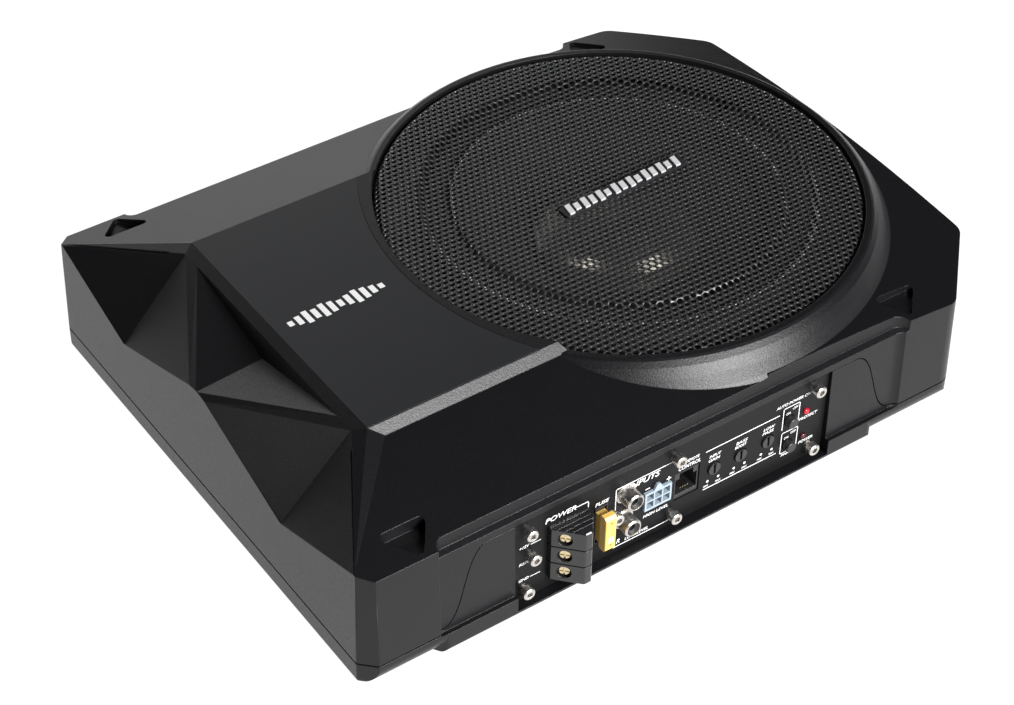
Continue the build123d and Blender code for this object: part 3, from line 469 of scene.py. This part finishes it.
class Solids:
    """Collects closed prisms and lettering into one mesh."""

    def __init__(self, name):
        self.name = name
        self.bm = bmesh.new()

    def prism(self, outline, depth, place):
        """Prism on an outline of local (x, y) points, from local z = 0 up to the depth."""
        low = [self.bm.verts.new(place @ Vector((x, y, 0.0))) for x, y in outline]
        high = [self.bm.verts.new(place @ Vector((x, y, depth))) for x, y in outline]
        self.bm.faces.new(low[::-1])
        self.bm.faces.new(high)
        for i, vertex in enumerate(low):
            j = (i + 1) % len(low)
            self.bm.faces.new((vertex, low[j], high[j], high[i]))

    def line(self, points, width, depth, place):
        """Thin raised line through local points, one bar per stretch."""
        for (x0, y0), (x1, y1) in zip(points, points[1:]):
            along = Vector((x1 - x0, y1 - y0)).normalized() * width / 2
            side = Vector((-along.y, along.x))
            start, end = Vector((x0, y0)) - along, Vector((x1, y1)) + along
            self.prism([start + side, start - side, end - side, end + side], depth, place)

    def disc(self, x, y, radius, depth, place, sides=20):
        turns = [2 * math.pi * i / sides for i in range(sides)]
        self.prism([(x + radius * math.cos(t), y + radius * math.sin(t)) for t in turns], depth, place)

    def word(self, text, x, y, height, depth, place, slant=0.25, fit=None):
        """Lettering whose baseline starts at a local point; fit squeezes it to a width."""
        data = bpy.data.curves.new("word", "FONT")
        data.body = text
        data.size = height / CAPITAL_SHARE
        data.shear = slant
        data.extrude = depth / 2
        data.offset = height * STROKE_GAIN
        data.resolution_u = 3
        holder = bpy.data.objects.new("word", data)
        mesh = bpy.data.meshes.new_from_object(holder)
        width = max(v.co.x for v in mesh.vertices)
        squeeze = fit / width if fit else 1.0
        shape = Matrix.Diagonal((squeeze, 1.0, 1.0, 1.0))
        mesh.transform(place @ Matrix.Translation((x, y, depth / 2)) @ shape)
        self.bm.from_mesh(mesh)
        bpy.data.objects.remove(holder)
        bpy.data.curves.remove(data)
        bpy.data.meshes.remove(mesh)

    def finish(self, material, body=CASE, slot=None, smooth=True):
        bmesh.ops.recalc_face_normals(self.bm, faces=self.bm.faces)
        mesh = bpy.data.meshes.new(self.name)
        self.bm.to_mesh(mesh)
        self.bm.free()
        return add_piece(self.name, mesh, material, body, smooth)


# ------------------------------------------------------------ marks on the top
def slanted_bar(x, y, width, height, lean):
    """Corner points of an upright bar that leans to the right."""
    half = height / 2
    return [(x, y - half), (x + width, y - half), (x + width + lean, y + half), (x + lean, y + half)]


def build_badge_bars():
    """Row of silver slanted bars on the plain backing strip of the grille."""
    centre = (badge_low + badge_high) / 2
    swing = Matrix.Rotation(math.radians(2.0), 4, "Z")
    place = Matrix.Translation((centre.x, centre.y, badge_high.z)) @ swing
    tall, middle, short, least = 6.4, 5.2, 4.2, 3.6
    heights = (tall, short, tall, middle, tall, least, tall, middle,
               tall, short, tall, middle, tall, short, tall)
    pitch, width, thickness, slant = 4.3 * MM, 2.7 * MM, 0.7 * MM, 0.2
    bars = Solids("badge_bars")
    for i, height in enumerate(heights):
        x = (i - len(heights) / 2) * pitch
        bars.prism(slanted_bar(x, 0.0, width, height * MM, height * slant * MM), thickness, place)
    bars.finish("badge")


def build_plate_mark():
    """White bar-graph mark printed on the smooth plate."""
    place = Matrix.Translation((plate_low.x + 6.5 * MM, 0.5 * MM, plate_high.z))
    heights = (3.0, 5.5, 8.0, 6.0, 8.5, 6.8, 4.2, 6.4, 8.5, 7.0, 5.0, 3.0)
    pitch, width, thickness = 4.0 * MM, 2.5 * MM, 0.06 * MM
    mark = Solids("plate_mark")
    for i, height in enumerate(heights):
        mark.prism(slanted_bar(pitch * i, 0.0, width, height * MM, 0.0), thickness, place)
    mark.finish("print", slot="plate", smooth=False)


# ------------------------------------------------------------ print on the control panel
INK = 0.05 * MM
RULE = 0.42 * MM          # width of the frames and long rules
THIN_RULE = 0.36 * MM
LEADER = 0.3 * MM         # width of the leader lines of the clamps
SIGN = 0.5 * MM           # stroke of the plus and minus signs
SIGN_HALF = 0.9 * MM
LABEL = 1.5               # heights of the lettering, in mm
SMALL_LABEL = 1.2
TINY_LABEL = 1.1


class Spot:
    """Extent of a CAD node seen square on to the control panel."""

    def __init__(self, node):
        low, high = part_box(node)
        self.left, self.right, self.bottom, self.top = low.x, high.x, low.z, high.z
        self.x, self.z = (low.x + high.x) / 2, (low.z + high.z) / 2
        self.front = low.y


class PanelInk(Solids):
    """Flat print on the face of the control panel; local X runs along it and local Y up."""

    def __init__(self, name):
        super().__init__(name)
        self.place = Matrix.Translation((0.0, panel_face, 0.0)) @ Matrix.Rotation(math.radians(90.0), 4, "X")

    def rule(self, points, width=RULE):
        self.line(points, width, INK, self.place)

    def dot(self, x, z, radius):
        self.disc(x, z, radius, INK, self.place)

    def label(self, text, x, z, height, width=None):
        """Word from its lower left corner; its height and width are in mm."""
        self.word(text, x, z, height * MM, INK, self.place, fit=width * MM if width else None)


def print_power(ink):
    """Frame, title and leader lines of the three supply clamps."""
    block = Spot("terminal_block")
    right, top = block.right + 0.6 * MM, block.top + 2.2 * MM
    ink.rule([(block.right - 5.5 * MM, top), (right, top), (right, block.bottom - 2.0 * MM)])
    ink.label("POWER", block.left - 1.5 * MM, block.top + 1.2 * MM, 2.6, 15.5)
    for number, text in ((3, "+12V"), (2, "REM"), (1, "GND")):
        z = Spot("terminal_screw_" + str(number)).z - 1.6 * MM
        ink.label(text, block.left - 14.0 * MM, z, LABEL, 5.2)
        if number != 2:
            leader_z = z + 0.6 * MM
            ink.rule([(block.left - 8.0 * MM, leader_z), (block.left - 3.4 * MM, leader_z)], LEADER)


def print_inputs(ink):
    """Frame and titles of the two line sockets and the six-way socket."""
    rca, socket = Spot("rca_shells"), Spot("high_level_socket")
    left, right = rca.left + 0.4 * MM, socket.right + 0.5 * MM
    top, bottom = rca.top - 0.1 * MM, rca.bottom - 9.0 * MM
    ink.rule([(right, top), (left, top), (left, bottom), (right, bottom)])
    ink.label("INPUTS", left + 6.0 * MM, top - 3.6 * MM, 2.9, 16.5)
    ink.label("L", left + 1.5 * MM, top - 4.4 * MM, 2.3)
    ink.label("R", left + 1.2 * MM, bottom + 1.5 * MM, 2.4)
    ink.label("HIGH LEVEL", socket.left + 0.3 * MM, socket.bottom - 4.8 * MM, LABEL, 13.2)
    ink.label("LOW LEVEL", left + 5.6 * MM, bottom + 1.2 * MM, LABEL, 12.5)
    minus_x, plus_x, z = socket.left + 2.0 * MM, socket.right - 0.9 * MM, socket.bottom + 11.5 * MM
    for x in (minus_x, plus_x):
        ink.rule([(x - SIGN_HALF, z), (x + SIGN_HALF, z)], SIGN)
    ink.rule([(plus_x, z - SIGN_HALF), (plus_x, z + SIGN_HALF)], SIGN)


def print_jack_and_fuse(ink):
    """Titles over the remote socket and the fuse."""
    jack, fuse = Spot("remote_jack"), Spot("fuse_holder")
    ink.label("REMOTE", jack.left + 4.8 * MM, jack.top + 4.3 * MM, LABEL, 7.5)
    ink.label("CONTROL", jack.left + 1.2 * MM, jack.top + 1.4 * MM, 1.9, 11.8)
    ink.label("FUSE", fuse.left, fuse.top + 0.6 * MM, 1.9, 7.3)


def print_dials(ink):
    """Titles, end marks and the two rules of the three adjusters."""
    dials = {"gain_adjuster": ("INPUT", "GAIN"), "boost_adjuster": ("BASS", "BOOST"),
             "low_pass_adjuster": ("LOW", "PASS")}
    for node, (upper, lower) in dials.items():
        dial = Spot(node)
        ink.label(upper, dial.x - 3.0 * MM, dial.top + 3.6 * MM, LABEL, 6.4)
        ink.label(lower, dial.x - 3.4 * MM, dial.top + 1.4 * MM, LABEL, 6.4)
        for way in (-1, 1):
            ink.dot(dial.x + way * 2.9 * MM, dial.z - 6.3 * MM, 0.62 * MM)
        ink.label("MIN", dial.x - 5.0 * MM, dial.z - 9.2 * MM, TINY_LABEL, 2.6)
        ink.label("MAX", dial.x + 1.4 * MM, dial.z - 9.2 * MM, TINY_LABEL, 3.0)
    first, last = Spot("gain_adjuster"), Spot("low_pass_adjuster")
    left, right = first.x - 4.8 * MM, last.x + 5.4 * MM
    for z in (first.z + 11.6 * MM, first.z - 10.2 * MM):
        ink.rule([(left, z), (right, z)])


def print_buttons(ink):
    """Frames and titles of the two buttons and the two lamps; the phase button's frame is closed."""
    auto, phase = Spot("auto_on_button"), Spot("phase_button")
    for key, lift, closed in ((auto, 7.7, False), (phase, 7.6, True)):
        x0, x1 = key.x - 3.6 * MM, key.x + 5.2 * MM
        z0, z1 = key.z - 4.3 * MM, key.z + lift * MM
        corners = [(x0, z0), (x0, z1), (x1, z1), (x1, z0)]
        if closed:
            corners.append((x0, z0))
        ink.rule(corners, THIN_RULE)
        ink.label("ON", key.x - 2.2 * MM, key.z + 3.4 * MM, SMALL_LABEL, 2.6)
        ink.label("OFF", key.x + 1.2 * MM, key.z + 5.2 * MM, SMALL_LABEL, 3.2)
    ink.label("AUTO POWER ON", auto.x - 8.0 * MM, auto.z + 9.3 * MM, LABEL, 19.0)
    ink.label("PHASE", phase.x - 3.0 * MM, phase.z - 6.3 * MM, 1.4, 7.6)
    protect, power = Spot("protect_lamp"), Spot("power_lamp")
    ink.label("PROTECT", protect.x - 3.6 * MM, protect.z - 4.4 * MM, LABEL, 10.4)
    ink.label("POWER", power.x - 2.0 * MM, power.z - 4.2 * MM, LABEL, 8.0)


def build_panel_print():
    """White screen print of the control panel: function names, rules and frames."""
    ink = PanelInk("panel_print")
    for draw in (print_power, print_inputs, print_jack_and_fuse, print_dials, print_buttons):
        draw(ink)
    ink.finish("print", slot="panel", smooth=False)


def build_fuse_number():
    """Raised rating on the front of the fuse; it reads upwards."""
    fuse = Spot("fuse_body")
    number = Solids("fuse_number")
    place = (Matrix.Translation((fuse.x + 1.3 * MM, fuse.front, fuse.z - 5.0 * MM))
             @ Matrix.Rotation(math.radians(90.0), 4, "X") @ Matrix.Rotation(math.radians(90.0), 4, "Z"))
    number.word("20", 0.0, 0.0, 2.6 * MM, 0.12 * MM, place, slant=0.0)
    number.finish("print", body="fuse", slot="fuse", smooth=False)


# ------------------------------------------------------------ soft rings of the loudspeaker
def turned(name, profile, segments=144):
    """Closed ring made by turning a closed (radius, height) profile about the loudspeaker axis."""
    vertices, faces = [], []
    count = len(profile)
    for step in range(segments):
        turn = 2 * math.pi * step / segments
        vertices += [(ring_centre.x + r * math.cos(turn), r * math.sin(turn), z) for r, z in profile]
    for step in range(segments):
        here, there = step * count, (step + 1) % segments * count
        for k in range(count):
            m = (k + 1) % count
            faces.append((here + k, here + m, there + m, there + k))
    mesh = mesh_from(name, vertices, faces)
    tidy_normals(mesh)
    return mesh


def follow_cone(piece):
    """Bakes the piece's placement into its mesh; it stays attached to no body."""
    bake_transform(piece)


def build_surround():
    """Half-roll rubber edge with a fine concentric rib at each foot."""
    low, high = surround_low.z, surround_high.z
    outer_lip = surround_high.x - ring_centre.x
    inner, outer = 73.0 * MM, 88.0 * MM
    inner_lip = inner - 5.0 * MM
    skin = 0.8 * MM
    foot, rib_top, rib_half = low + skin, low + skin * 1.4, 0.5 * MM
    inner_rib, outer_rib = inner_lip + 2.5 * MM, outer + 2.0 * MM
    middle, half = (inner + outer) / 2, (outer - inner) / 2
    rise, thinning, steps = high - low - skin, 0.2 * MM, 24

    def rib(radius):
        return [(radius - rib_half, foot), (radius, rib_top), (radius + rib_half, foot)]

    top = [(inner_lip, foot)] + rib(inner_rib)
    under = [(inner_lip, low)]
    for i in range(steps + 1):
        turn = math.pi * i / steps
        top.append((middle - half * math.cos(turn), foot + rise * math.sin(turn)))
        under.append((middle - (half - skin) * math.cos(turn), low + (rise - thinning) * math.sin(turn)))
    top += rib(outer_rib) + [(outer_lip, foot)]
    under.append((outer_lip, low))
    piece = add_piece("surround_roll", turned("surround_roll", top + under[::-1]), "surround", body=None)
    follow_cone(piece)
    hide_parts("surround")


def build_spider():
    """Corrugated cloth ring between the coil former and the basket shelf."""
    base = spider_low.z
    inner = former_right - ring_centre.x + 0.05 * MM
    outer = spider_high.x - ring_centre.x
    waves, wave_height, cloth, steps = 7, 1.2 * MM, 0.6 * MM, 98
    top, under = [], []
    for i in range(steps + 1):
        share = i / steps
        r = inner + (outer - inner) * share
        z = base + wave_height * math.sin(math.pi * waves * share) ** 2
        under.append((r, z))
        top.append((r, z + cloth))
    piece = add_piece("spider_cloth", turned("spider_cloth", top + under[::-1]), "spider", body=None)
    follow_cone(piece)
    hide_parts("spider")


# ------------------------------------------------------------ camera, light, floor
def build_stage():
    """Plain pale floor, clear when seen from below, in a dim grey studio; the lamps do the rest."""
    reach, level = 6.0, -0.2 * MM
    mesh = mesh_from("floor", [(-reach, -reach, level), (reach, -reach, level), (reach, reach, level),
                               (-reach, reach, level)],
                     [(0, 1, 2, 3)])
    floor = bpy.data.objects.new("floor", mesh)
    bpy.context.scene.collection.objects.link(floor)
    s = Shader("pale_floor")
    s.set(color=(0.10, 0.10, 0.10), rough=0.9, specular=0.0, emission=1.0)
    s.principled.inputs["Emission Color"].default_value = (1.0, 1.0, 1.0, 1.0)
    from_below = s.add("ShaderNodeNewGeometry").outputs["Backfacing"]
    s.link(s.spread(from_below, 0.0, 1.0, 1.0, 0.0), s.principled.inputs["Alpha"])
    mesh.materials.append(s.material)
    world = bpy.data.worlds.new("studio")
    bpy.context.scene.world = world
    world.use_nodes = True
    background = world.node_tree.nodes["Background"]
    background.inputs["Color"].default_value = (0.96, 0.98, 1.0, 1.0)
    background.inputs["Strength"].default_value = 0.03
    bpy.context.scene.view_settings.view_transform = "Standard"


def area_light(name, azimuth, elevation, distance, size, power, aim=(0.03, 0.0, 0.05)):
    """Rectangular soft box; azimuth runs from +X towards +Y, both angles in degrees."""
    azimuth, elevation = math.radians(azimuth), math.radians(elevation)
    direction = Vector((math.cos(azimuth) * math.cos(elevation), math.sin(azimuth) * math.cos(elevation),
                        math.sin(elevation)))
    data = bpy.data.lights.new(name, "AREA")
    data.shape = "RECTANGLE"
    data.size, data.size_y = size
    data.energy = power
    light = bpy.data.objects.new(name, data)
    bpy.context.scene.collection.objects.link(light)
    light.location = Vector(aim) + direction * distance
    light.rotation_euler = direction.to_track_quat("Z", "Y").to_euler()
    return light


def build_lights():
    """Large window behind, a front key for the steep faces, a small lamp close to the faceted end,
    and two lamps that light the dust cap alone."""
    area_light("window", azimuth=82.0, elevation=21.0, distance=2.2, size=(2.25, 1.2), power=15.5)
    area_light("key", azimuth=-82.0, elevation=26.0, distance=1.5, size=(0.9, 0.75), power=68.0)
    faceted_end = (-0.157, -0.045, 0.059)
    near = area_light("near_lamp", azimuth=166.0, elevation=34.0, distance=0.28, size=(0.12, 0.12),
                      power=0.08, aim=faceted_end)
    near.visible_camera = False
    domed = bpy.data.collections.new("domed")
    domed.objects.link(frame["nodes"]["dust_cap"])
    distance, height, power_per_width = 1.3, 0.2, 8.0
    for azimuth, elevation, width in ((97.0, 68.0, 0.26), (0.0, 62.0, 0.42)):
        lamp = area_light("cap_lamp", azimuth, elevation, distance, (width, height), power_per_width * width)
        lamp.light_linking.receiver_collection = domed


def build_camera():
    """Long lens from the front left, above the object."""
    data = bpy.data.cameras.new("camera")
    data.sensor_width = 36.0
    data.lens = 85.25
    data.clip_start = 0.05
    camera = bpy.data.objects.new("camera", data)
    bpy.context.scene.collection.objects.link(camera)
    target = Vector((-0.0563, -0.0605, 0.0727))
    azimuth, elevation, distance = math.radians(-35.46), math.radians(41.30), 0.9823
    back = Vector((math.sin(azimuth) * math.cos(elevation), -math.cos(azimuth) * math.cos(elevation),
                   math.sin(elevation)))
    camera.location = target + back * distance
    roll = Matrix.Rotation(math.radians(0.855), 3, "Z").to_quaternion()
    camera.rotation_mode = "QUATERNION"
    camera.rotation_quaternion = (-back).to_track_quat("-Z", "Y") @ roll
    bpy.context.scene.camera = camera


paint_cad_nodes()
build_grille()
build_badge_bars()
build_plate_mark()
build_panel_print()
build_fuse_number()
build_surround()
build_spider()
build_stage()
build_lights()
build_camera()
